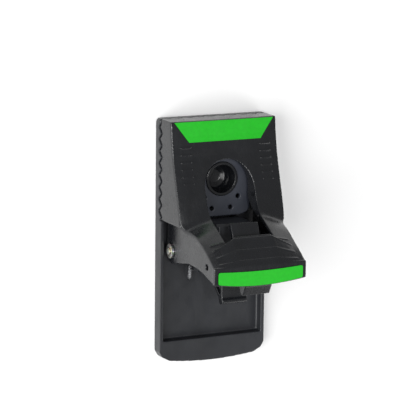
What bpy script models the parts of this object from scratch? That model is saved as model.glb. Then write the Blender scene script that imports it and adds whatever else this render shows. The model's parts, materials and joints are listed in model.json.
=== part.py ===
"""Press-to-set snap trap of rat size: a toothed base, a one-piece jaw and lever, a hinged bait pedal and a trip latch.

The trap is shown closed. Measures below are in millimetres and are scaled to metres when a mesh is made.
X runs across the trap, +Y points to the mouth, +Z points up, and the origin is under the middle of the base.
"""

import math

import bmesh
import bpy
from mathutils import Matrix, Vector

MM = 0.001
GAP = 0.3

# Whole trap
LENGTH = 152.4
WIDTH = 71.6
WALL = 2.4
HALF_L = LENGTH / 2
HALF_W = WIDTH / 2
REAR_BOW = 3.0
AXLE_Y = -4.0
AXLE_Z = 12.0
AXLE_R = 2.0
BORE_R = AXLE_R + GAP

# Base
TRAY_WALL_Z = 8.0
END_BAR_Y = -61.5
BITE_Z = 6.0
BITE_DEPTH = 1.8
BITE_GAP = 0.4
BITE_BACK_Y = 14.4
SIDE_TEETH = 8
FRONT_TEETH = 9
CORNER_FLAT = 3.2
TOWER_HALF = 12.3
TOWER_INNER = 9.9
TOWER_FRONT_Y = 15.4
TOWER_BACK_Y = -12.5
TOWER_Z = 37.0

# Jaw and lever
DECK_HALF = 35.0
LEVER_HALF = 30.0
FLANGE = 2.4
STEP = 0.15
LIP_Z = 71.5
LIP_FRONT_Y = -3.5
LIP_BACK_Y = -13.2
LIP_BOW = 2.4
HUB_R = 8.0
TETHER_R = 1.85
# Rows run from the mouth to the lip: (y, z) at the middle, (y, z) at the edge, half width
PANEL_ROWS = (
    ((76.0, 20.2), (76.0, 20.0), 35.0),
    ((67.0, 21.2), (67.0, 21.0), 35.0),
    ((55.0, 23.4), (55.0, 23.2), 35.0),
    ((43.0, 27.0), (43.0, 26.6), 35.0),
    ((33.0, 30.6), (33.0, 29.6), 35.0),
    ((27.0, 33.0), (25.5, 31.8), 35.0),
    ((22.4, 35.7), (19.5, 33.4), 35.0),
    ((20.4, 37.6), (15.4, 34.9), 34.2),
    ((19.0, 39.6), (13.4, 37.4), 32.6),
    ((17.1, 43.1), (12.2, 42.4), 31.4),
    ((14.6, 47.5), (10.9, 47.4), 30.7),
    ((12.2, 51.5), (8.8, 51.9), 30.3),
    ((9.0, 57.0), (5.6, 57.4), 30.0),
    ((4.5, 62.8), (2.0, 63.4), 30.0),
    ((-3.5, 71.5), (-3.5, 71.5), 30.0),
)
PANEL_FLAT_HALF = 15.0
CROWN_POWER = 1.25
STRAIGHT_ROWS = 3

# Opening in the jaw over the pedal
ARCH_HALF = 16.5
ARCH_Y = 34.8
ARCH_RISE = 17.6
ARCH_BACK_Y = 7.6
WELL_WALL = 2.0
WELL_Z = 20.3

# Thumb pad at the rear end of the opening
PAD_HALF = 13.8
PAD_TOP = (12.7, 59.9)
PAD_FOOT = (-3.0, 71.3)
PAD_THICK = 3.6
PAD_CORNER = 4.0
CHEEK_Z = (60.4, 70.8)
CHEEK_X = (12.8, 26.4)

# Grip bars
RIB_HEIGHTS = (56.6, 61.0, 65.3, 69.3)
RIB_END_X = 25.8
RIB_WIDE = 0.8
RIB_PROUD = 0.35
DECK_BAR_X = (23.4, 29.7)
DECK_BAR_YS = (39.3, 43.4, 47.6, 51.8, 56.0, 60.3)

# Pedal
PEDAL_PIVOT_Y = 60.0
PEDAL_PIVOT_Z = 15.0
PEDAL_PIN_R = 1.0
PEDAL_TOP_Z = 18.0
PEDAL_HALF = 19.4
PEDAL_BACK_Y = 16.4
CUP_Y = 39.4
CUP_R = 9.6
PEDAL_HOLES = ((6.3, 21.4), (11.3, 28.0))
PEDAL_HOLE_R = 1.5
EAR_X = (20.2, 22.8)

# Trip latch and catch bar
LATCH_HALF = 8.4
LATCH_PIVOT_Y = -14.5
LATCH_PIVOT_Z = 9.0
LATCH_PIN_R = 1.5
LATCH_BOSS_R = 4.2
LATCH_WINDOW_R = 3.5
CATCH_HALF = 9.0
LATCH_SPRING_Y = 9.0

# Main springs
COIL_R = 6.2
WIRE_R = 1.1
COIL_X = (14.2, 25.0)
ARM_X = 25.5
COIL_TURNS = 4.25

BLACK = (0.018, 0.019, 0.022, 1.0)
BASE_BLACK = (0.026, 0.028, 0.032, 1.0)
GREY = (0.062, 0.072, 0.092, 1.0)
GREEN = (0.004, 0.58, 0.010, 1.0)
STEEL = (0.62, 0.63, 0.65, 1.0)
NYLON = (0.72, 0.71, 0.66, 1.0)


def clear_scene():
    for item in list(bpy.data.objects):
        bpy.data.objects.remove(item, do_unlink=True)


def material(name, colour, roughness, metallic=0.0):
    made = bpy.data.materials.new(name)
    made.use_nodes = True
    shader = made.node_tree.nodes["Principled BSDF"]
    shader.inputs["Base Color"].default_value = colour
    shader.inputs["Roughness"].default_value = roughness
    shader.inputs["Metallic"].default_value = metallic
    return made


# Outlines


def arc(centre, radius, start, end, steps):
    """Points on an arc, with angles in degrees."""
    points = []
    for step in range(steps + 1):
        angle = math.radians(start + (end - start) * step / steps)
        points.append((centre[0] + radius * math.cos(angle), centre[1] + radius * math.sin(angle)))
    return points


def filleted(points, radius, steps=4):
    """The outline with each corner rounded to at most this radius."""
    rounded = []
    for index, corner in enumerate(points):
        here = Vector(corner)
        before = Vector(points[index - 1]) - here
        after = Vector(points[(index + 1) % len(points)]) - here
        half = before.angle(after) / 2
        reach = min(radius / math.tan(half), 0.45 * before.length, 0.45 * after.length)
        start = here + before.normalized() * reach
        end = here + after.normalized() * reach
        for step in range(steps + 1):
            t = step / steps
            point = start * (1 - t) ** 2 + here * 2 * t * (1 - t) + end * t * t
            rounded.append((point.x, point.y))
    return rounded


def between(rows, height):
    """The y at which a profile that rises rearwards reaches this height."""
    for (y0, z0), (y1, z1) in zip(rows, rows[1:]):
        if z0 <= height <= z1:
            return y0 + (y1 - y0) * (height - z0) / (z1 - z0)
    return rows[-1][0]


def height_at(rows, y):
    """The height of a profile, whose y falls row by row, at this y."""
    for (y0, z0), (y1, z1) in zip(rows, rows[1:]):
        if y1 <= y <= y0:
            return z0 + (z1 - z0) * (y0 - y) / (y0 - y1)
    return rows[-1][1]


def eased(rows, steps):
    """The rows with more of them in between, on a smooth curve through all but the straight first ones."""
    made = rows[: STRAIGHT_ROWS - 1]
    for index in range(STRAIGHT_ROWS - 1, len(rows) - 1):
        nearby = [rows[min(index + shift, len(rows) - 1)] for shift in (-1, 0, 1, 2)]
        for step in range(steps):
            t = step / steps
            row = []
            for a, b, c, d in zip(*nearby):
                curve = 2 * b + (c - a) * t + (2 * a - 5 * b + 4 * c - d) * t * t
                row.append((curve + (3 * b - a - 3 * c + d) * t**3) / 2)
            made.append(tuple(row))
    return made + [rows[-1]]


ROWS = eased([(*middle, *edge, half) for middle, edge, half in PANEL_ROWS], 3)
MIDDLE = [row[:2] for row in ROWS]
EDGE = [row[2:4] for row in ROWS]


def bite(start, end, teeth, offset):
    """A zigzag from start to end along one axis, as (position, height), shifted up by the offset."""
    points = [(start, BITE_Z + offset)]
    step = (end - start) / teeth
    for tooth in range(teeth):
        points.append((start + step * (tooth + 0.25), BITE_Z + BITE_DEPTH + offset))
        points.append((start + step * (tooth + 0.75), BITE_Z - BITE_DEPTH + offset))
    points.append((end, BITE_Z + offset))
    return points


# Solids


def solid_from(bm):
    bmesh.ops.recalc_face_normals(bm, faces=bm.faces)
    bmesh.ops.scale(bm, vec=(MM, MM, MM), verts=bm.verts)
    mesh = bpy.data.meshes.new("solid")
    bm.to_mesh(mesh)
    bm.free()
    made = bpy.data.objects.new("solid", mesh)
    bpy.context.scene.collection.objects.link(made)
    return made


def slab(outline, axis, low, high):
    """An outline pushed along an axis: (y, z) along X, (x, z) along Y, or (x, y) along Z."""
    place = {
        "X": lambda u, v, w: (w, u, v),
        "Y": lambda u, v, w: (u, w, v),
        "Z": lambda u, v, w: (u, v, w),
    }[axis]
    bm = bmesh.new()
    ring = [bm.verts.new(place(u, v, low)) for u, v in outline]
    face = bm.faces.new(ring)
    moved = bmesh.ops.extrude_face_region(bm, geom=[face])["geom"]
    push = Vector(place(0.0, 0.0, high - low))
    bmesh.ops.translate(bm, vec=push, verts=[v for v in moved if isinstance(v, bmesh.types.BMVert)])
    return solid_from(bm)


def block(low, high):
    corners = [(low[0], low[1]), (high[0], low[1]), (high[0], high[1]), (low[0], high[1])]
    return slab(corners, "Z", low[2], high[2])


def rod(axis, centre, radius, low, high, segments=24):
    return slab(arc(centre, radius, 0, 360 - 360 / segments, segments - 1), axis, low, high)


def turned(profile, centre, segments=32):
    """A closed (radius, z) profile turned about an upright axis; radius 0 stands for a point on the axis."""
    bm = bmesh.new()
    rings = []
    for radius, z in profile:
        if radius == 0:
            rings.append([bm.verts.new((centre[0], centre[1], z))] * segments)
            continue
        ring = arc(centre, radius, 0, 360 - 360 / segments, segments - 1)
        rings.append([bm.verts.new((x, y, z)) for x, y in ring])
    count = len(rings)
    last = count if profile[0][0] or profile[-1][0] else count - 1
    for index in range(last):
        first, second = rings[index], rings[(index + 1) % count]
        for turn in range(segments):
            onward = (turn + 1) % segments
            corners = [first[turn], first[onward], second[onward], second[turn]]
            unique = list(dict.fromkeys(corners))
            if len(unique) > 2:
                bm.faces.new(unique)
    return solid_from(bm)


def lofted(top, bottom):
    """A plate between two equal grids of points."""
    bm = bmesh.new()
    layers = [[[bm.verts.new(p) for p in row] for row in grid] for grid in (top, bottom)]
    rows, columns = len(top), len(top[0])
    for layer in layers:
        for i in range(rows - 1):
            for j in range(columns - 1):
                bm.faces.new((layer[i][j], layer[i][j + 1], layer[i + 1][j + 1], layer[i + 1][j]))
    upper, lower = layers
    for i in range(rows - 1):
        for j in (0, columns - 1):
            bm.faces.new((upper[i][j], upper[i + 1][j], lower[i + 1][j], lower[i][j]))
    for j in range(columns - 1):
        for i in (0, rows - 1):
            bm.faces.new((upper[i][j], upper[i][j + 1], lower[i][j + 1], lower[i][j]))
    return solid_from(bm)


def bar(start, end, wide, up, proud):
    """A small bar from start to end, sunk a little into the surface whose outward direction is up."""
    start, end, up = Vector(start), Vector(end), Vector(up).normalized()
    side = (end - start).cross(up).normalized() * wide / 2
    bm = bmesh.new()
    corners = []
    for point in (start, end):
        for across, rise in ((-1.0, -0.8), (1.0, -0.8), (0.7, proud), (-0.7, proud)):
            corners.append(bm.verts.new(point + side * across + up * rise))
    bm.faces.new(corners[:4])
    bm.faces.new(corners[4:])
    for k in range(4):
        n = (k + 1) % 4
        bm.faces.new((corners[k], corners[n], corners[4 + n], corners[4 + k]))
    return solid_from(bm)


def wire(path, radius, sides=8):
    """A round wire along a list of points, closed at both ends."""
    points = [Vector(p) for p in path]
    bm = bmesh.new()
    rings = []
    across = (points[1] - points[0]).orthogonal().normalized()
    for index, point in enumerate(points):
        ahead = points[min(index + 1, len(points) - 1)]
        behind = points[max(index - 1, 0)]
        along = (ahead - behind).normalized()
        across = (across - along * across.dot(along)).normalized()
        other = along.cross(across)
        ring = []
        for side in range(sides):
            angle = 2 * math.pi * side / sides
            offset = (across * math.cos(angle) + other * math.sin(angle)) * radius
            ring.append(bm.verts.new(point + offset))
        rings.append(ring)
    for first, second in zip(rings, rings[1:]):
        for side in range(sides):
            n = (side + 1) % sides
            bm.faces.new((first[side], first[n], second[n], second[side]))
    bm.faces.new(rings[0])
    bm.faces.new(rings[-1])
    return solid_from(bm)


def change(target, operation, others, solver):
    """Joins the other solids to the target, cuts them from it or keeps what they share, and removes them."""
    for other in others:
        step = target.modifiers.new("step", "BOOLEAN")
        step.operation = operation
        step.object = other
        step.solver = solver
    graph = bpy.context.evaluated_depsgraph_get()
    done = bpy.data.meshes.new_from_object(target.evaluated_get(graph))
    target.modifiers.clear()
    target.data = done
    for other in others:
        bpy.data.objects.remove(other, do_unlink=True)
    return target


def fuse(target, others, solver="EXACT"):
    return change(target, "UNION", others, solver)


def cut(target, others, solver="EXACT"):
    return change(target, "DIFFERENCE", others, solver)


def node(name, made, finish, parent=None, sharp=35.0):
    """Names a finished solid, gives it its material and hangs it on its joint's empty."""
    made.name = name
    made.data.name = name
    made.data.materials.clear()
    made.data.materials.append(finish)
    made.data.shade_smooth()
    made.data.set_sharp_from_angle(angle=math.radians(sharp))
    if parent is not None:
        made.data.transform(Matrix.Translation(-parent.location))
        made.parent = parent
    return made


def axis_empty(name, y, z):
    made = bpy.data.objects.new(name, None)
    made.location = (0.0, y * MM, z * MM)
    bpy.context.scene.collection.objects.link(made)
    return made


# Base


def base_outline(inset):
    """The base seen from above: straight sides and front, and a rear end that bows out."""
    half = HALF_W - inset
    front = HALF_L - inset
    back = -HALF_L + REAR_BOW + inset
    rear = []
    for step in range(9):
        x = -half + 7.0 + (2 * half - 14.0) * step / 8
        rear.append((x, back - REAR_BOW * (1 - (x / half) ** 2)))
    left = [(-half, back + 5.0), (-half + 2.0, back + 1.6)]
    right = [(half - 2.0, back + 1.6), (half, back + 5.0)]
    nose = [(half, front - 2.0), (half - 2.0, front), (2.0 - half, front), (-half, front - 2.0)]
    return left + rear + right + nose


def base_tray():
    tray = slab(base_outline(0.0), "Z", 0.0, TRAY_WALL_Z)
    hollow = slab(base_outline(WALL), "Z", WALL, TRAY_WALL_Z + 5)
    valley_z = BITE_Z - BITE_DEPTH - BITE_GAP
    front_y = BITE_BACK_Y - BITE_GAP
    front = block((-HALF_W - 1, front_y, valley_z), (HALF_W + 1, HALF_L + 1, TRAY_WALL_Z + 5))
    cut(tray, [hollow, front])
    additions = [tower_shell(), end_bar()]
    for side in (-1, 1):
        additions.append(side_bite(side))
        additions.append(pedal_ear(side))
    additions.append(front_bite())
    additions.append(rod("Z", (0.0, LATCH_SPRING_Y), 1.5, 1.0, 5.0, 16))
    fuse(tray, additions)
    cutters = [
        rod("X", (AXLE_Y, AXLE_Z), BORE_R, -20, 20),
        rod("X", (LATCH_PIVOT_Y, LATCH_PIVOT_Z), LATCH_PIN_R + GAP, -20, 20, 16),
        rod("X", (PEDAL_PIVOT_Y, PEDAL_PIVOT_Z), PEDAL_PIN_R + GAP, -30, 30, 16),
        rod("Z", (0.0, CUP_Y), CUP_R + 2.4, -1, WALL + 1, 32),
        block((-30.0, -HALF_L + 5.5, -1.0), (30.0, END_BAR_Y - WALL, TRAY_WALL_Z - WALL)),
    ]
    return cut(tray, cutters)


def end_bar():
    outline = [p for p in base_outline(0.4) if p[1] < END_BAR_Y]
    half = HALF_W - 0.4
    outline = [(-half, END_BAR_Y)] + outline + [(half, END_BAR_Y)]
    return slab(outline, "Z", 1.0, TRAY_WALL_Z)


def tower_shell():
    """The upright hood in the middle of the base that carries the axle, with lugs behind it for the latch."""
    side = [
        (TOWER_FRONT_Y, 1.0),
        (TOWER_FRONT_Y, TOWER_Z - 1.6),
        (TOWER_FRONT_Y - 1.6, TOWER_Z),
        (-8.0, TOWER_Z),
        (TOWER_BACK_Y, TOWER_Z - 8.0),
        (TOWER_BACK_Y, 19.0),
        (LATCH_PIVOT_Y - 4.5, 12.0),
        (LATCH_PIVOT_Y - 4.5, 1.0),
    ]
    shell = slab(side, "X", -TOWER_HALF, TOWER_HALF)
    inner = block((-TOWER_INNER, -30.0, 0.5), (TOWER_INNER, TOWER_FRONT_Y - WALL, TOWER_Z - WALL))
    window = block((-TOWER_INNER, TOWER_FRONT_Y - 5, 8.0), (TOWER_INNER, TOWER_FRONT_Y + 1, 17.6))
    shoulders = []
    for side_sign in (-1, 1):
        edge = side_sign * TOWER_HALF
        wedge = [
            (edge - side_sign * 2.2, TOWER_Z + 0.5),
            (edge + side_sign * 0.5, TOWER_Z + 0.5),
            (edge + side_sign * 0.5, TOWER_Z - 2.2),
            (edge - side_sign * 0.5, TOWER_Z - 1.4),
            (edge - side_sign * 1.4, TOWER_Z - 0.5),
        ]
        shoulders.append(slab(wedge, "Y", TOWER_BACK_Y - 2, TOWER_FRONT_Y + 2))
    return cut(shell, [inner, window] + shoulders)


def side_bite(side):
    """The toothed side wall of the lower jaw."""
    top = bite(BITE_BACK_Y, HALF_L - CORNER_FLAT, SIDE_TEETH, -BITE_GAP / 2)
    outline = top + [(HALF_L - 0.7, BITE_Z - BITE_GAP / 2), (HALF_L - 0.7, 1.0), (BITE_BACK_Y, 1.0)]
    inner, outer = side * (HALF_W - WALL), side * HALF_W
    return slab(outline, "X", min(inner, outer), max(inner, outer))


def front_bite():
    half = HALF_W - CORNER_FLAT
    top = bite(-half, half, FRONT_TEETH, -BITE_GAP / 2)
    low = BITE_Z - BITE_GAP / 2
    end = HALF_W - 0.7
    outline = [(-end, low)] + top + [(end, low), (end, 1.0), (-end, 1.0)]
    return slab(outline, "Y", HALF_L - WALL, HALF_L)


def pedal_ear(side):
    outline = [(PEDAL_PIVOT_Y - 4.5, 1.0), (PEDAL_PIVOT_Y + 4.5, 1.0), (PEDAL_PIVOT_Y + 2.8, PEDAL_PIVOT_Z)]
    outline += arc((PEDAL_PIVOT_Y, PEDAL_PIVOT_Z), 2.8, 22.5, 157.5, 6)
    outline.append((PEDAL_PIVOT_Y - 2.8, PEDAL_PIVOT_Z))
    inner, outer = side * EAR_X[0], side * EAR_X[1]
    return slab(outline, "X", min(inner, outer), max(inner, outer))


# Jaw and lever


def panel():
    """The top skin of the jaw and the lever, crowned towards its middle."""
    top, bottom = [], []
    last = len(ROWS) - 1
    for index, (middle_y, middle_z, edge_y, edge_z, half) in enumerate(ROWS):
        before = Vector(MIDDLE[max(index - 1, 0)])
        after = Vector(MIDDLE[min(index + 1, last)])
        along = (after - before).normalized()
        inward = Vector((along.y, -along.x)) * -WALL
        upper, lower = [], []
        for way, step in [(-1, 5 - n) for n in range(6)] + [(1, n) for n in range(6)]:
            share = (step / 5) ** CROWN_POWER
            x = way * (PANEL_FLAT_HALF + (half - PANEL_FLAT_HALF) * step / 5)
            y = middle_y + (edge_y - middle_y) * share
            z = middle_z + (edge_z - middle_z) * share
            upper.append((x, y, z))
            lower.append((x, y + inward.x, z + inward.y))
        top.append(upper)
        bottom.append(lower)
    return lofted(top, bottom)


def arch_outline(extra):
    """The opening seen from above: straight sides and a domed front, grown by extra."""
    half, rise = ARCH_HALF + extra, ARCH_RISE + extra
    dome = []
    for step in range(17):
        angle = math.pi * step / 16
        dome.append((half * math.cos(angle), ARCH_Y + rise * math.sin(angle)))
    return [(half, ARCH_BACK_Y)] + dome + [(-half, ARCH_BACK_Y)]


def arch_cutter():
    return slab(arch_outline(0.0), "Z", 10.0, 80.0)


def well():
    """The wall that hangs from the deck round the opening, down to just above the pedal."""
    front_y = ARCH_Y + ARCH_RISE + WELL_WALL
    top = [(y, z - 1.2) for y, z in MIDDLE if 20.0 < y < front_y]
    side = [(front_y, WELL_Z), (28.0, WELL_Z), (22.0, 26.0), (17.5, 33.5)] + list(reversed(top))
    side.append((front_y, height_at(MIDDLE, front_y) - 1.2))
    half = ARCH_HALF + WELL_WALL
    made = slab(side, "X", -half, half)
    return change(made, "INTERSECT", [slab(arch_outline(WELL_WALL), "Z", 10.0, 80.0)], "EXACT")


def pad():
    """The raised thumb pad, whose front edge overhangs the opening."""
    reach = Vector(PAD_TOP) - Vector(PAD_FOOT)
    long = reach.length
    front = filleted([(-PAD_HALF, 0), (-PAD_HALF, long), (PAD_HALF, long), (PAD_HALF, 0)], PAD_CORNER)
    outline = [(-PAD_HALF, 0.0)] + [p for p in front if p[1] > long / 2] + [(PAD_HALF, 0.0)]
    made = slab(outline, "Z", -PAD_THICK, 0.0)
    tilt = math.atan2(reach.y, reach.x)
    move = Matrix.Translation((0, PAD_FOOT[0] * MM, PAD_FOOT[1] * MM)) @ Matrix.Rotation(tilt, 4, "X")
    made.data.transform(move)
    return made


def pad_y(height):
    share = (height - PAD_TOP[1]) / (PAD_FOOT[1] - PAD_TOP[1])
    return PAD_TOP[0] + (PAD_FOOT[0] - PAD_TOP[0]) * share


def lever_y(x, height):
    """The y of the lever's front surface at this x and height."""
    share = max(0.0, (abs(x) - PANEL_FLAT_HALF) / (LEVER_HALF - PANEL_FLAT_HALF)) ** CROWN_POWER
    return between(MIDDLE, height) + (between(EDGE, height) - between(MIDDLE, height)) * share


def cheek_y(x, height):
    """The y of the slope from the pad's plane at the cheek's inner end to the lever at its outer end."""
    share = (abs(x) - CHEEK_X[0]) / (CHEEK_X[1] - CHEEK_X[0])
    return pad_y(height) + (lever_y(CHEEK_X[1], height) - pad_y(height)) * share


def cheek(side):
    """The slope that joins the pad to the shoulder beside it."""
    top, bottom = [], []
    for row in range(7):
        height = CHEEK_Z[0] + (CHEEK_Z[1] - CHEEK_Z[0]) * row / 6
        upper, lower = [], []
        for column in range(5):
            x = CHEEK_X[0] + (CHEEK_X[1] - CHEEK_X[0]) * column / 4
            upper.append((side * x, cheek_y(x, height), height))
            lower.append((side * x, lever_y(x, height) - 1.5, height - 0.8))
        top.append(upper)
        bottom.append(lower)
    return lofted(top, bottom)


def grip_ribs():
    ribs = []
    for height in RIB_HEIGHTS:
        on_cheek = height > CHEEK_Z[0]
        surface, inner_x = (cheek_y, CHEEK_X[0]) if on_cheek else (lever_y, ARCH_HALF + 0.7)
        for side in (-1, 1):
            start = (side * (inner_x + 0.1), surface(inner_x, height) - 0.07, height)
            end = (side * RIB_END_X, surface(RIB_END_X, height), height)
            ribs.append(bar(start, end, RIB_WIDE, (0, 0.8, 0.6), RIB_PROUD))
        if on_cheek:
            y = pad_y(height)
            ribs.append(bar((-13.4, y, height), (13.4, y, height), RIB_WIDE, (0, 0.59, 0.81), RIB_PROUD))
    return ribs


def deck_bars():
    bars = []
    for y in DECK_BAR_YS:
        z = height_at(EDGE, y) + 0.1
        for side in (-1, 1):
            start = (side * DECK_BAR_X[0], y, z)
            end = (side * DECK_BAR_X[1], y, z)
            bars.append(bar(start, end, RIB_WIDE, (0, 0.25, 0.97), RIB_PROUD))
    return bars


def flange(side):
    """The side plate that joins the lever, the jaw and the axle hub."""
    ridge = [(y, z - 1.0) for y, z in EDGE if z > 36.0]
    front = [(15.8, 34.0), (15.8, BITE_Z + 0.4)]
    hub = arc((AXLE_Y, AXLE_Z), HUB_R, -60, -180, 8)
    rear = [(-7.4, 35.6), (-7.8, 47.3), (-9.0, 55.1), (-11.1, 62.7), (LIP_BACK_Y, LIP_Z - 0.8)]
    outline = front + hub + rear + list(reversed(ridge))
    inner, outer = side * (LEVER_HALF - FLANGE), side * (LEVER_HALF + STEP)
    return slab(outline, "X", min(inner, outer), max(inner, outer))


def jaw_side(side):
    """The toothed side wall of the upper jaw, with its rear web."""
    bottom = bite(BITE_BACK_Y, HALF_L - CORNER_FLAT, SIDE_TEETH, BITE_GAP / 2)
    top = [(y, z - 1.0) for y, z in EDGE if y > BITE_BACK_Y + 0.5]
    outline = bottom + [(HALF_L, BITE_Z + BITE_GAP / 2)] + top + [(BITE_BACK_Y, height_at(EDGE, 15.4) - 1.0)]
    inner, outer = side * (DECK_HALF - WALL), side * (DECK_HALF + STEP)
    wall = slab(outline, "X", min(inner, outer), max(inner, outer))
    inner, outer = side * (LEVER_HALF - 1.0), side * (DECK_HALF - WALL + 0.4)
    low = BITE_Z + BITE_GAP / 2 + STEP
    web = block((min(inner, outer), BITE_BACK_Y + STEP, low), (max(inner, outer), BITE_BACK_Y + WALL, 33.6))
    return [wall, web]


def jaw_front():
    half = HALF_W - CORNER_FLAT
    bottom = bite(-half, half, FRONT_TEETH, BITE_GAP / 2)
    low = BITE_Z + BITE_GAP / 2
    end = DECK_HALF - STEP
    outline = [(-end, low)] + bottom + [(end, low), (end, 19.2), (-end, 19.2)]
    return slab(outline, "Y", HALF_L - WALL, HALF_L)


def lip():
    half = LEVER_HALF + 2 * STEP
    outline = [(-half, LIP_FRONT_Y + 0.5), (-half, LIP_BACK_Y)]
    for step in range(1, 12):
        x = -half + 2 * half * step / 12
        outline.append((x, LIP_BACK_Y - LIP_BOW * (1 - (x / half) ** 2)))
    outline += [(half, LIP_BACK_Y), (half, LIP_FRONT_Y + 0.5)]
    return slab(outline, "Z", LIP_Z - WALL, LIP_Z)


def jaw_lever():
    # EXACT leaves open edges where the hubs meet the flanges, so the jaw takes the other solver.
    solver = "MANIFOLD"
    skin = cut(fuse(panel(), [well()], solver), [arch_cutter()], solver)
    pieces = [lip(), pad(), jaw_front()]
    for side in (-1, 1):
        pieces += [flange(side), cheek(side)]
        pieces += jaw_side(side)
        inner, outer = side * 26.9, side * (LEVER_HALF + 0.3)
        pieces.append(rod("X", (AXLE_Y, AXLE_Z), 6.4, min(inner, outer), max(inner, outer)))
    fuse(skin, pieces + grip_ribs() + deck_bars(), solver)
    cutters = [
        rod("X", (AXLE_Y, AXLE_Z), BORE_R, -40, 40),
        rod("X", (-4.2, 60.7), TETHER_R, -40, 40, 20),
    ]
    return cut(skin, cutters, solver)


def catch_bar():
    """The tongue under the pad, whose front end the latch holds and whose tail shows behind the lip."""
    side = [
        (18.0, 48.8),
        (12.6, 51.6),
        (8.4, 52.8),
        (6.0, 55.6),
        (2.0, 60.4),
        (-5.8, 68.3),
        (-8.0, 68.7),
        (-16.4, 68.7),
        (-22.2, 65.6),
        (-22.0, 62.8),
        (-16.0, 60.6),
        (-8.0, 57.4),
        (0.0, 53.6),
        (8.0, 50.6),
        (16.6, 46.0),
    ]
    return slab(side, "X", -CATCH_HALF, CATCH_HALF)


# Trigger


def trigger_pedal():
    rear = [(-PEDAL_HALF, 20.6), (-17.4, 18.1), (-14.4, 16.8), (-11.0, PEDAL_BACK_Y)]
    outline = rear + [(-x, y) for x, y in reversed(rear)]
    outline += [(PEDAL_HALF, PEDAL_PIVOT_Y), (-PEDAL_HALF, PEDAL_PIVOT_Y)]
    plate = slab(outline, "Z", PEDAL_TOP_Z - WALL, PEDAL_TOP_Z)
    pieces = [rod("X", (PEDAL_PIVOT_Y, PEDAL_PIVOT_Z), 2.7, -PEDAL_HALF, PEDAL_HALF, 20)]
    for side in (-1, 1):
        inner, outer = side * (PEDAL_HALF - 1.7), side * PEDAL_HALF
        pieces.append(block((min(inner, outer), 21.0, 12.6), (max(inner, outer), 56.0, PEDAL_TOP_Z - 1)))
    fuse(plate, pieces)
    cutters = [
        rod("X", (PEDAL_PIVOT_Y, PEDAL_PIVOT_Z), PEDAL_PIN_R + GAP, -30, 30, 16),
        rod("Z", (0.0, CUP_Y), CUP_R + GAP, 5, 25, 32),
    ]
    for x, y in PEDAL_HOLES:
        for side in (-1, 1):
            cutters.append(rod("Z", (side * x, y), PEDAL_HOLE_R, 5, 25, 16))
    return cut(plate, cutters)


def bait_cup():
    rim_z = PEDAL_TOP_Z + GAP
    profile = [
        (0, 5.4),
        (4.6, 5.8),
        (7.6, 7.8),
        (9.2, 11.6),
        (CUP_R, rim_z),
        (CUP_R + 1.0, rim_z),
        (CUP_R + 1.0, rim_z + 0.4),
        (CUP_R + 0.6, rim_z + 0.7),
        (CUP_R - 0.9, rim_z + 0.7),
        (8.1, 12.0),
        (6.8, 8.8),
        (4.0, 7.1),
        (0, 6.7),
    ]
    return turned(profile, (0.0, CUP_Y))


def trip_latch():
    """A bell crank on its own pin: its tail lies under the pedal and its nose holds the catch bar."""
    boss = arc((LATCH_PIVOT_Y, LATCH_PIVOT_Z), LATCH_BOSS_R, -95, -190, 6)
    side = [(21.0, 15.2), (21.0, 12.8), (8.0, 9.8), (1.0, 7.2), (-4.0, 5.6), (-11.0, 4.9)] + boss
    side += [
        (-24.0, 25.0),
        (-30.6, 32.4),
        (-33.4, 33.2),
        (-34.6, 34.6),
        (-33.9, 36.3),
        (-33.0, 38.3),
        (-31.4, 38.2),
        (-29.8, 37.2),
        (-13.4, 37.2),
        (-12.2, 36.0),
        (-10.6, 31.6),
        (-5.6, 24.0),
        (2.0, 18.4),
        (10.0, 14.8),
        (15.4, 14.4),
    ]
    body = slab(side, "X", -LATCH_HALF, LATCH_HALF)
    pocket = [(-13.5, 15.5), (-28.5, 33.5), (-27.0, 34.6), (-15.0, 34.6), (-12.4, 29.0), (-9.0, 21.5)]
    cutters = [
        slab(pocket, "X", -20, -LATCH_HALF + 2.2),
        slab(pocket, "X", LATCH_HALF - 2.2, 20),
        rod("X", (AXLE_Y, AXLE_Z), LATCH_WINDOW_R, -20, 20),
        rod("X", (LATCH_PIVOT_Y, LATCH_PIVOT_Z), LATCH_PIN_R + GAP, -20, 20, 16),
    ]
    return cut(body, cutters)


def latch_spring():
    turns, points = 3.5, 12
    low, high = WALL + GAP + 0.4, 9.0
    path = []
    for step in range(int(turns * points) + 1):
        angle = 2 * math.pi * step / points
        z = low + (high - low) * step / (turns * points)
        path.append((2.4 * math.cos(angle), LATCH_SPRING_Y + 2.4 * math.sin(angle), z))
    return wire(path, 0.35, 6)


# Axle group


def push_nut(side):
    low, high = sorted((side * (LEVER_HALF + 0.6), side * (LEVER_HALF + 1.8)))
    return cut(
        rod("X", (AXLE_Y, AXLE_Z), 4.4, low, high), [rod("X", (AXLE_Y, AXLE_Z), BORE_R, low - 1, high + 1)]
    )


def spring_bush(side):
    low, high = sorted((side * (TOWER_HALF + 0.4), side * 26.5))
    return cut(
        rod("X", (AXLE_Y, AXLE_Z), 4.4, low, high), [rod("X", (AXLE_Y, AXLE_Z), BORE_R, low - 1, high + 1)]
    )


def coil_point(side, turn):
    """A point on the coil's centre line; turn 0 is low, next to the tower, and the last turn ends in front."""
    angle = -math.pi / 2 + 2 * math.pi * turn
    x = side * (COIL_X[0] + (COIL_X[1] - COIL_X[0]) * turn / COIL_TURNS)
    return (x, AXLE_Y + COIL_R * math.cos(angle), AXLE_Z + COIL_R * math.sin(angle))


def main_spring(side):
    """The coil and its lower leg, which bears on the floor of the base."""
    points = 14
    path = [(side * COIL_X[0], -25.0, 3.9), (side * COIL_X[0], -16.0, 4.2), (side * COIL_X[0], -8.0, 5.4)]
    for step in range(int(COIL_TURNS * points) + 1):
        path.append(coil_point(side, step / points))
    return wire(path, WIRE_R)


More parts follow.
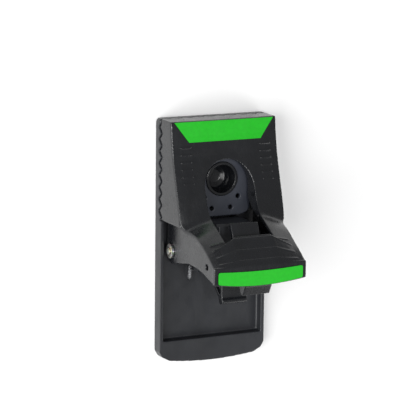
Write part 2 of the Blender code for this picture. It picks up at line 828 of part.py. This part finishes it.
def spring_arm(side):
    """The upper leg, which follows the lever."""
    x = side * ARM_X
    y = AXLE_Y + COIL_R
    path = [(x, y, AXLE_Z + 2.0), (x, y + 0.4, 20.0), (x, 4.0, 34.0), (x, 4.6, 44.0), (x, 4.4, 49.0)]
    return wire(path, WIRE_R)


# Labels


def jaw_label():
    """A tapered sticker across the front of the jaw."""
    top, bottom = [], []
    for y, half in ((75.7, 33.0), (67.0, 26.5), (63.5, 23.9)):
        z = height_at(MIDDLE, y)
        edge_z = height_at(EDGE, y)
        upper, lower = [], []
        for x in (-half, -PANEL_FLAT_HALF, PANEL_FLAT_HALF, half):
            share = max(0.0, (abs(x) - PANEL_FLAT_HALF) / (DECK_HALF - PANEL_FLAT_HALF))
            here = z + (edge_z - z) * share
            upper.append((x, y, here + 0.6))
            lower.append((x, y, here + GAP))
        top.append(upper)
        bottom.append(lower)
    return lofted(top, bottom)


def lever_label():
    """A bowed sticker along the lip."""
    half = 27.8
    rear, front = [], []
    for step in range(13):
        x = -half + 2 * half * step / 12
        crown = 1 - (x / half) ** 2
        rear.append((x, LIP_BACK_Y + 0.5 - LIP_BOW * crown))
        front.append((x, LIP_FRONT_Y - 1.9 - 1.0 * crown))
    outline = filleted(rear + list(reversed(front)), 1.2, 2)
    return slab(outline, "Z", LIP_Z + GAP, LIP_Z + GAP + 0.3)


def build():
    clear_scene()
    jaw_black = material("jaw_black_plastic", BLACK, 0.28)
    base_black = material("base_black_plastic", BASE_BLACK, 0.32)
    grey = material("pedal_grey_plastic", GREY, 0.42)
    cup_black = material("cup_black_plastic", BLACK, 0.2)
    green = material("label_green", GREEN, 0.3)
    steel = material("spring_steel", STEEL, 0.3, 1.0)
    zinc = material("zinc_plate", STEEL, 0.4, 1.0)
    nylon = material("natural_nylon", NYLON, 0.45)

    jaw_axis = axis_empty("jaw_axis", AXLE_Y, AXLE_Z)
    latch_axis = axis_empty("latch_axis", LATCH_PIVOT_Y, LATCH_PIVOT_Z)
    pedal_axis = axis_empty("pedal_axis", PEDAL_PIVOT_Y, PEDAL_PIVOT_Z)

    node("base_tray", base_tray(), base_black)
    node("jaw_lever", jaw_lever(), jaw_black, jaw_axis)
    node("catch_bar", catch_bar(), jaw_black, jaw_axis)
    node("jaw_label", jaw_label(), green, jaw_axis)
    node("lever_label", lever_label(), green, jaw_axis)
    node("trigger_pedal", trigger_pedal(), grey, pedal_axis)
    node("bait_cup", bait_cup(), cup_black, pedal_axis)
    node("trip_latch", trip_latch(), jaw_black, latch_axis)
    node("latch_spring", latch_spring(), steel, None, 80.0)
    node("main_axle", rod("X", (AXLE_Y, AXLE_Z), AXLE_R, -32.6, 32.6), zinc)
    pin = rod("X", (PEDAL_PIVOT_Y, PEDAL_PIVOT_Z), PEDAL_PIN_R, -23.6, 23.6, 16)
    node("pedal_pin", pin, zinc)
    pin = rod("X", (LATCH_PIVOT_Y, LATCH_PIVOT_Z), LATCH_PIN_R, -12.8, 12.8, 16)
    node("latch_pin", pin, zinc)
    for side, word in ((-1, "left"), (1, "right")):
        node(f"push_nut_{word}", push_nut(side), zinc)
        node(f"spring_bush_{word}", spring_bush(side), nylon)
        node(f"main_spring_{word}", main_spring(side), steel, None, 80.0)
        node(f"spring_arm_{word}", spring_arm(side), steel, jaw_axis, 80.0)


build()
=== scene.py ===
"""Finished look of the press-to-set snap trap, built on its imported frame."""

import json
import math

import bmesh
import bpy
from mathutils import Matrix, Vector
from mathutils.bvhtree import BVHTree

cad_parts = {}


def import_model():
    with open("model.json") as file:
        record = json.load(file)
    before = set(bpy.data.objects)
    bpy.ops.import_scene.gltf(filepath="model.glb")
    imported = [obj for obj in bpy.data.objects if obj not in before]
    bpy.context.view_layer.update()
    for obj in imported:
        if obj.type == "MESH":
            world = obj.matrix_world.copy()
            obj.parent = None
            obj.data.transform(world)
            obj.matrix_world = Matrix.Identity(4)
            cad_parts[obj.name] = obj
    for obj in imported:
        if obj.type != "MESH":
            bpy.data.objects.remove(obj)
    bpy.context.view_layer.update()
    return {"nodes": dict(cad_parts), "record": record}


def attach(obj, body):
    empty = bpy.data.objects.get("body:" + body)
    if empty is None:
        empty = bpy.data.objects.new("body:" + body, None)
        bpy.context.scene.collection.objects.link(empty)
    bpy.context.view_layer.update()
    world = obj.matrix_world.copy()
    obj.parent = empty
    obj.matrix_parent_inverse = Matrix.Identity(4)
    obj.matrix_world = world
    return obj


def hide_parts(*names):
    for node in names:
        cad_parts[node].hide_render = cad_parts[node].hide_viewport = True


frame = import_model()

MM = 0.001

# Colours, linear
BLACK = (0.0075, 0.0082, 0.0100, 1.0)
PEDAL_GREY = (0.030, 0.034, 0.046, 1.0)
LABEL_GREEN = (0.001, 0.42, 0.003, 1.0)
SPRING_STEEL = (0.60, 0.61, 0.63, 1.0)
ZINC_PLATE = (0.64, 0.63, 0.60, 1.0)
NATURAL_NYLON = (0.66, 0.64, 0.57, 1.0)
DUST = (0.30, 0.31, 0.32, 1.0)
# Floor colours near the trap and far from it: a painted pool of light, bright at the trap and darker farther
# away
FLOOR_NEAR = (0.93, 0.93, 0.93, 1.0)
FLOOR_FAR = (0.42, 0.42, 0.43, 1.0)

PLASTIC_IOR = 1.53

# Moulded pieces: remeshing voxel in mm, rounds of smoothing, share of the triangles kept
MOULDED = {
    "jaw_lever": (0.36, 7, 0.15),
    "base_tray": (0.42, 6, 0.13),
    "trigger_pedal": (0.32, 3, 0.35),
    "catch_bar": (0.32, 8, 0.30),
    "trip_latch": (0.36, 8, 0.30),
    "bait_cup": (0.24, 3, 0.35),
}
# Pieces with bevelled edges: bevel in mm
EDGED = {
    "jaw_label": 0.12,
    "lever_label": 0.12,
    "main_axle": 0.3,
    "pedal_pin": 0.3,
    "latch_pin": 0.3,
    "push_nut_left": 0.15,
    "push_nut_right": 0.15,
    "spring_bush_left": 0.15,
    "spring_bush_right": 0.15,
}
WIRES = ("main_spring_left", "main_spring_right", "spring_arm_left", "spring_arm_right", "latch_spring")

# Grips on the deck, in mm
GRIP_YS = (39.3, 43.4, 47.6, 51.8, 56.0, 60.3)
GRIP_XS = (-29.9, -23.2, 23.2, 29.9)
GRIP_HALF = 0.45
GRIP_RADIUS = 0.7
GRIP_SUNK = 0.35
ABOVE_DECK = 60.0
DOWN = Vector((0.0, 0.0, -1.0))

# Camera and lights, in metres
CAMERA_AT = (-0.5646, 0.2716, 1.1588)
CAMERA_RIGHT = (0.90153, 0.01054, 0.43259)
CAMERA_BACK = (-0.42658, 0.18942, 0.88439)
CAMERA_LENS = 192.3
CAMERA_SENSOR = 36.0
WORLD_STRENGTH = 0.30
FLOOR_SIZE = 6.0
# FLOOR_FADE: the distances in metres over which the painted falloff of light on the floor runs
FLOOR_FADE = (0.20, 0.55)


# Materials


def shader_of(name):
    """A new node material, its node tree and its Principled shader."""
    made = bpy.data.materials.new(name)
    made.use_nodes = True
    tree = made.node_tree
    return made, tree, tree.nodes["Principled BSDF"]


def add(tree, kind, **inputs):
    """A node of this kind with its inputs set by name."""
    made = tree.nodes.new(kind)
    for name, value in inputs.items():
        made.inputs[name.replace("_", " ")].default_value = value
    return made


def place(tree, stretch=(1.0, 1.0, 1.0)):
    """Coordinates in metres, in the trap's frame, stretched along an axis if wanted."""
    where = tree.nodes.new("ShaderNodeTexCoord")
    mapping = add(tree, "ShaderNodeMapping", Scale=stretch)
    tree.links.new(where.outputs["Object"], mapping.inputs["Vector"])
    return mapping.outputs["Vector"]


def noise(tree, scale, detail=4.0, rough=0.55, stretch=(1.0, 1.0, 1.0)):
    """Soft noise between 0 and 1, with its scale per metre."""
    made = add(tree, "ShaderNodeTexNoise", Scale=scale, Detail=detail, Roughness=rough)
    tree.links.new(place(tree, stretch), made.inputs["Vector"])
    return made.outputs["Fac"]


def cells(tree, scale):
    """Scattered cells, with a distance and a colour each, for specks and crystals."""
    made = add(tree, "ShaderNodeTexVoronoi", Scale=scale)
    tree.links.new(place(tree), made.inputs["Vector"])
    return made


def spread(tree, source, low_in, high_in, low, high):
    """The source's range from low_in to high_in, moved to low to high."""
    made = add(tree, "ShaderNodeMapRange", From_Min=low_in, From_Max=high_in, To_Min=low, To_Max=high)
    tree.links.new(source, made.inputs["Value"])
    return made.outputs["Result"]


def maths(tree, operation, first, second):
    """A sum or product of two sockets or numbers."""
    made = tree.nodes.new("ShaderNodeMath")
    made.operation = operation
    for index, value in enumerate((first, second)):
        if isinstance(value, float):
            made.inputs[index].default_value = value
        else:
            tree.links.new(value, made.inputs[index])
    return made.outputs[0]


def mixed(tree, factor, first, second):
    """A colour between two, by a factor."""
    made = tree.nodes.new("ShaderNodeMix")
    made.data_type = "RGBA"
    tree.links.new(factor, made.inputs["Factor"])
    for socket, value in (("A", first), ("B", second)):
        target = [s for s in made.inputs if s.name == socket and s.type == "RGBA"][0]
        if isinstance(value, tuple):
            target.default_value = value
        else:
            tree.links.new(value, target)
    return [s for s in made.outputs if s.type == "RGBA"][0]


def shade(colour, factor):
    """The colour made lighter or darker by a factor."""
    return tuple(min(1.0, c * factor) for c in colour[:3]) + (1.0,)


def relief(tree, shader, *layers):
    """Bump from (height, strength, depth) layers, one on the other."""
    before = None
    for height, strength, depth in layers:
        bump = add(tree, "ShaderNodeBump", Strength=strength, Distance=depth)
        tree.links.new(height, bump.inputs["Height"])
        if before is not None:
            tree.links.new(before, bump.inputs["Normal"])
        before = bump.outputs["Normal"]
    tree.links.new(before, shader.inputs["Normal"])


def plastic(name, colour, roughness, grain=0.06, dust=0.3):
    """Moulded plastic: faint flow marks, handling haze, fine grain and a few dust specks."""
    made, tree, shader = shader_of(name)
    flow = noise(tree, 45.0, 3.0, 0.5, (1.0, 0.35, 1.0))
    base = mixed(tree, spread(tree, flow, 0.35, 0.65, 0.0, 1.0), shade(colour, 0.82), shade(colour, 1.2))
    specks = cells(tree, 640.0)
    near = spread(tree, specks.outputs["Distance"], 0.0, 0.07, 1.0, 0.0)
    patchy = spread(tree, noise(tree, 90.0, 2.0), 0.52, 0.62, 0.0, dust)
    base = mixed(tree, maths(tree, "MULTIPLY", near, patchy), base, DUST)
    tree.links.new(base, shader.inputs["Base Color"])
    haze = noise(tree, 130.0, 6.0, 0.6)
    streaks = noise(tree, 900.0, 2.0, 0.5, (1.0, 0.06, 1.0))
    rough = spread(tree, haze, 0.3, 0.7, roughness - 0.05, roughness + 0.08)
    rough = maths(tree, "ADD", rough, spread(tree, streaks, 0.55, 0.75, 0.0, 0.07))
    tree.links.new(rough, shader.inputs["Roughness"])
    shader.inputs["IOR"].default_value = PLASTIC_IOR
    relief(tree, shader, (noise(tree, 2600.0, 2.0), grain, 0.00004), (noise(tree, 70.0, 1.0), 0.10, 0.0003))
    return made


def metal(name, colour, roughness, spangle):
    """Steel: drawn streaks, slight tarnish and, on plated pieces, small crystals."""
    made, tree, shader = shader_of(name)
    tone = noise(tree, 260.0, 5.0)
    base = mixed(tree, spread(tree, tone, 0.3, 0.7, 0.0, 1.0), shade(colour, 0.68), colour)
    crystals = cells(tree, 700.0).outputs["Color"]
    share = maths(tree, "MULTIPLY", spread(tree, tone, 0.4, 0.6, 0.0, 1.0), spangle)
    base = mixed(tree, share, base, crystals)
    tree.links.new(base, shader.inputs["Base Color"])
    shader.inputs["Metallic"].default_value = 1.0
    rough = spread(tree, noise(tree, 500.0, 4.0), 0.3, 0.7, roughness - 0.08, roughness + 0.12)
    tree.links.new(rough, shader.inputs["Roughness"])
    relief(tree, shader, (noise(tree, 1800.0, 3.0, 0.5, (0.2, 1.0, 1.0)), 0.2, 0.00004))
    return made


def film(name, colour, roughness):
    """Printed vinyl: an even colour with a faint print mottle, handling marks and a slightly wavy surface."""
    made, tree, shader = shader_of(name)
    mottle = noise(tree, 500.0, 3.0)
    base = mixed(tree, spread(tree, mottle, 0.3, 0.7, 0.0, 1.0), shade(colour, 0.93), shade(colour, 1.05))
    tree.links.new(base, shader.inputs["Base Color"])
    rough = spread(tree, noise(tree, 160.0, 5.0), 0.3, 0.7, roughness - 0.06, roughness + 0.08)
    tree.links.new(rough, shader.inputs["Roughness"])
    relief(tree, shader, (noise(tree, 120.0, 1.0), 0.15, 0.0003), (noise(tree, 3000.0, 2.0), 0.08, 0.00003))
    return made


JAW = plastic("jaw_black_plastic_look", BLACK, 0.24)
BASE = plastic("base_black_plastic_look", shade(BLACK, 1.8), 0.36)
PEDAL = plastic("pedal_grey_plastic_look", PEDAL_GREY, 0.40)
CUP = plastic("cup_black_plastic_look", shade(BLACK, 0.8), 0.18, 0.05, 0.1)
LABEL = film("label_green_look", LABEL_GREEN, 0.50)
STEEL = metal("spring_steel_look", SPRING_STEEL, 0.26, 0.0)
ZINC = metal("zinc_plate_look", ZINC_PLATE, 0.34, 0.25)
NYLON = plastic("natural_nylon_look", NATURAL_NYLON, 0.45)
NYLON_SHADER = NYLON.node_tree.nodes["Principled BSDF"]
NYLON_SHADER.inputs["Subsurface Weight"].default_value = 0.15
NYLON_SHADER.inputs["Subsurface Scale"].default_value = 0.002

LOOKS = {
    "jaw_black_plastic": JAW,
    "base_black_plastic": BASE,
    "pedal_grey_plastic": PEDAL,
    "cup_black_plastic": CUP,
    "label_green": LABEL,
    "spring_steel": STEEL,
    "zinc_plate": ZINC,
    "natural_nylon": NYLON,
}
SLOTS = {part["node"]: part["material_slot"] for part in frame["record"]["subparts"]}
BODIES = {node: body for body, nodes in frame["record"]["behaviour"]["bodies"].items() for node in nodes}

for node, slot_name in SLOTS.items():
    for held in frame["nodes"][node].material_slots:
        held.material = LOOKS[slot_name]


# Finer shapes


def finished(made, node):
    """A new piece takes the look, slot and body of the CAD node that it replaces."""
    made.data.materials.clear()
    made.data.materials.append(LOOKS[SLOTS[node]])
    made.data.shade_smooth()
    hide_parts(node)
    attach(made, BODIES[node])
    return made


def baked(made):
    """The object's mesh with its modifiers applied."""
    graph = bpy.context.evaluated_depsgraph_get()
    done = bpy.data.meshes.new_from_object(made.evaluated_get(graph))
    made.modifiers.clear()
    made.data = done
    return made


def copied(node, ending):
    """A new object with a copy of the CAD node's mesh."""
    made = bpy.data.objects.new(node + ending, frame["nodes"][node].data.copy())
    bpy.context.scene.collection.objects.link(made)
    return made


def softened(node, voxel, rounds, keep):
    """The node's solid with its edges rounded, as a mould leaves them. Voxel is in millimetres."""
    dense = copied(node, "_dense")
    remesh = dense.modifiers.new("remesh", "REMESH")
    remesh.mode = "VOXEL"
    remesh.voxel_size = voxel * MM
    smooth = dense.modifiers.new("smooth", "SMOOTH")
    smooth.factor = 0.5
    smooth.iterations = rounds
    baked(dense).data.shade_smooth()
    made = bpy.data.objects.new(node + "_moulded", dense.data.copy())
    bpy.context.scene.collection.objects.link(made)
    made.modifiers.new("thin", "DECIMATE").ratio = keep
    normals = made.modifiers.new("normals", "DATA_TRANSFER")
    normals.object = dense
    normals.use_loop_data = True
    normals.data_types_loops = {"CUSTOM_NORMAL"}
    normals.loop_mapping = "POLYINTERP_NEAREST"
    baked(made)
    bpy.data.objects.remove(dense, do_unlink=True)
    return finished(made, node)


def bevelled(node, width):
    """A simple turned or flat piece with its edges rounded by a width in millimetres."""
    made = copied(node, "_edged")
    bevel = made.modifiers.new("bevel", "BEVEL")
    bevel.width = width * MM
    bevel.segments = 3
    bevel.limit_method = "ANGLE"
    bevel.angle_limit = math.radians(40)
    made.modifiers.new("even", "WEIGHTED_NORMAL").keep_sharp = False
    return finished(baked(made), node)


def rounded_wire(node):
    """A wire with twice as many sides."""
    made = copied(node, "_round")
    made.modifiers.new("round", "SUBSURF").levels = 1
    return finished(baked(made), node)


def welt(points, radius):
    """A low rounded ridge along points that lie on a surface, tapered at both ends."""
    bm = bmesh.new()
    sides = 10
    rings = []
    along = (points[-1] - points[0]).normalized()
    across = along.cross(Vector((0, 0, 1))).normalized()
    up = across.cross(along).normalized()
    last = len(points) - 1
    for index, point in enumerate(points):
        swell = math.sqrt(max(0.0, 1 - abs(2 * index / last - 1) ** 6))
        size = max(radius * swell, radius * 0.05)
        ring = []
        for side in range(sides):
            angle = 2 * math.pi * side / sides
            ring.append(bm.verts.new(point + (across * math.cos(angle) + up * math.sin(angle)) * size))
        rings.append(ring)
    for first, second in zip(rings, rings[1:]):
        for side in range(sides):
            onward = (side + 1) % sides
            bm.faces.new((first[side], first[onward], second[onward], second[side]))
    bm.faces.new(rings[0])
    bm.faces.new(list(reversed(rings[-1])))
    bmesh.ops.recalc_face_normals(bm, faces=bm.faces)
    return bm


def welts(name, node, lines, radius):
    """Ridges on the node's body. Each line has a start and an end in mm and is dropped onto the surface."""
    below = frame["nodes"][node].data
    surface = BVHTree.FromPolygons(
        [v.co.copy() for v in below.vertices],
        [tuple(p.vertices) for p in below.polygons],
    )
    mesh = bpy.data.meshes.new(name)
    whole = bmesh.new()
    for start, end in lines:
        points = []
        for step in range(13):
            share = 0.5 - 0.5 * math.cos(math.pi * step / 12)
            origin = Vector(start).lerp(Vector(end), share) * MM
            hit = surface.ray_cast(origin, DOWN)[0]
            if hit is not None:
                points.append(hit + DOWN * radius * GRIP_SUNK * MM)
        part = welt(points, radius * MM)
        part.to_mesh(mesh)
        whole.from_mesh(mesh)
        part.free()
    whole.to_mesh(mesh)
    whole.free()
    made = bpy.data.objects.new(name, mesh)
    bpy.context.scene.collection.objects.link(made)
    made.data.materials.append(LOOKS[SLOTS[node]])
    made.data.shade_smooth()
    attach(made, BODIES[node])


for node, (voxel, rounds, keep) in MOULDED.items():
    softened(node, voxel, rounds, keep)
for node, width in EDGED.items():
    bevelled(node, width)
for node in WIRES:
    rounded_wire(node)

grip_ends = []
for y in GRIP_YS:
    for x in GRIP_XS:
        grip_ends.append(((x - GRIP_HALF, y, ABOVE_DECK), (x + GRIP_HALF, y, ABOVE_DECK)))
welts("deck_grip_ends", "jaw_lever", grip_ends, GRIP_RADIUS)


# Stage, lights and camera


def stage():
    """A pale floor with a painted pool of light: its colour grows darker away from the trap."""
    bpy.ops.mesh.primitive_plane_add(size=FLOOR_SIZE, location=(0, 0, 0))
    floor = bpy.context.object
    floor.name = "floor"
    made, tree, shader = shader_of("floor_look")
    where = tree.nodes.new("ShaderNodeTexCoord")
    reach = tree.nodes.new("ShaderNodeVectorMath")
    reach.operation = "LENGTH"
    tree.links.new(where.outputs["Object"], reach.inputs[0])
    # Painted falloff of light: the floor colour darkens with distance from the trap
    far = spread(tree, reach.outputs["Value"], *FLOOR_FADE, 0.0, 1.0)
    tree.links.new(mixed(tree, far, FLOOR_NEAR, FLOOR_FAR), shader.inputs["Base Color"])
    shader.inputs["Roughness"].default_value = 0.9
    floor.data.materials.append(made)


def lamp(name, spot, size, power):
    """A soft light at this spot in metres, aimed at the trap, with its power in watts."""
    light = bpy.data.lights.new(name, "AREA")
    light.shape = "RECTANGLE"
    light.size, light.size_y = size
    light.energy = power
    made = bpy.data.objects.new(name, light)
    bpy.context.scene.collection.objects.link(made)
    made.location = spot
    made.rotation_mode = "QUATERNION"
    made.rotation_quaternion = (-Vector(spot)).to_track_quat("-Z", "Y")


def world():
    made = bpy.data.worlds.new("studio")
    made.use_nodes = True
    background = made.node_tree.nodes["Background"]
    background.inputs["Color"].default_value = (1.0, 1.0, 1.0, 1.0)
    background.inputs["Strength"].default_value = WORLD_STRENGTH
    bpy.context.scene.world = made


def camera():
    data = bpy.data.cameras.new("camera")
    data.lens = CAMERA_LENS
    data.sensor_width = CAMERA_SENSOR
    made = bpy.data.objects.new("camera", data)
    bpy.context.scene.collection.objects.link(made)
    right = Vector(CAMERA_RIGHT)
    back = Vector(CAMERA_BACK).normalized()
    up = back.cross(right).normalized()
    right = up.cross(back)
    turn = Matrix((right, up, back)).transposed().to_4x4()
    made.matrix_world = Matrix.Translation(CAMERA_AT) @ turn
    bpy.context.scene.camera = made


stage()
bpy.context.scene.view_settings.view_transform = "Standard"
world()
lamp("key", (-1.15, -0.05, 0.75), (1.2, 1.2), 20.0)
lamp("top", (-0.25, 0.15, 1.5), (0.3, 0.3), 9.0)
lamp("fill", (0.9, -0.8, 0.7), (0.8, 0.8), 5.0)
camera()
